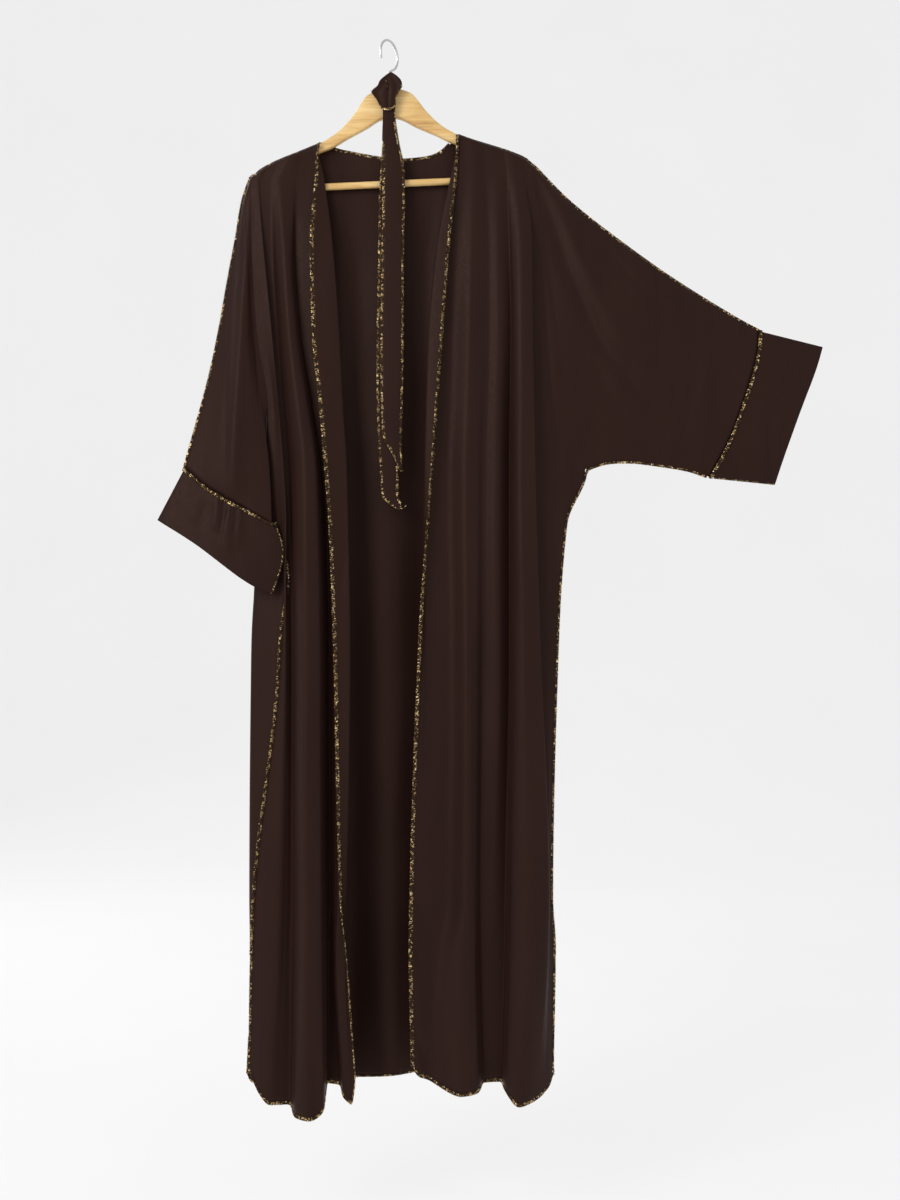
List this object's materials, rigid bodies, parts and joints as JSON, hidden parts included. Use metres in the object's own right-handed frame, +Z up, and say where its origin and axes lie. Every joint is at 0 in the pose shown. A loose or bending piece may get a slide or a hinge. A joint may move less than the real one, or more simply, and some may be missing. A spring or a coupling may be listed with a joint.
{
  "type": "kimono abaya on a wooden hanger",
  "caption": "Long open-front kimono abaya with batwing sleeves, deep cuffs, glitter overlocked edges and its tie belt, hanging on a wooden hanger.",
  "frame": {"origin": "the point inside the top of the hanger's hook on which everything hangs", "axes": "+Z up, +X to the viewer's right when looking at the garment's open front, and the front faces -Y"},
  "size_m": [0.9955, 0.0995, 1.6083],
  "materials": {
    "cloth": "dark brown crepe with a soft satin sheen",
    "glitter_trim": "gold glitter thread on dark brown",
    "wood": "clear lacquer",
    "steel": "polished wire"
  },
  "bodies": {
    "root": {"back": "cloth", "front_right": "cloth", "front_left": "cloth", "cuff_right": "cloth", "cuff_left": "cloth", "belt_tail_short": "cloth", "belt_tail_long": "cloth", "belt_knot": "cloth", "trim_neck": "glitter_trim", "trim_front_edge_right": "glitter_trim", "trim_front_edge_left": "glitter_trim", "trim_overarm_right": "glitter_trim", "trim_overarm_left": "glitter_trim", "trim_side_left": "glitter_trim", "trim_side_right": "glitter_trim", "trim_cuff_seam_right": "glitter_trim", "trim_cuff_seam_left": "glitter_trim", "trim_hem_back": "glitter_trim", "trim_hem_front_right": "glitter_trim", "trim_hem_front_left": "glitter_trim", "hanger_body": "wood", "trouser_bar": "wood", "hook": "steel"}
  },
  "joints": []
}
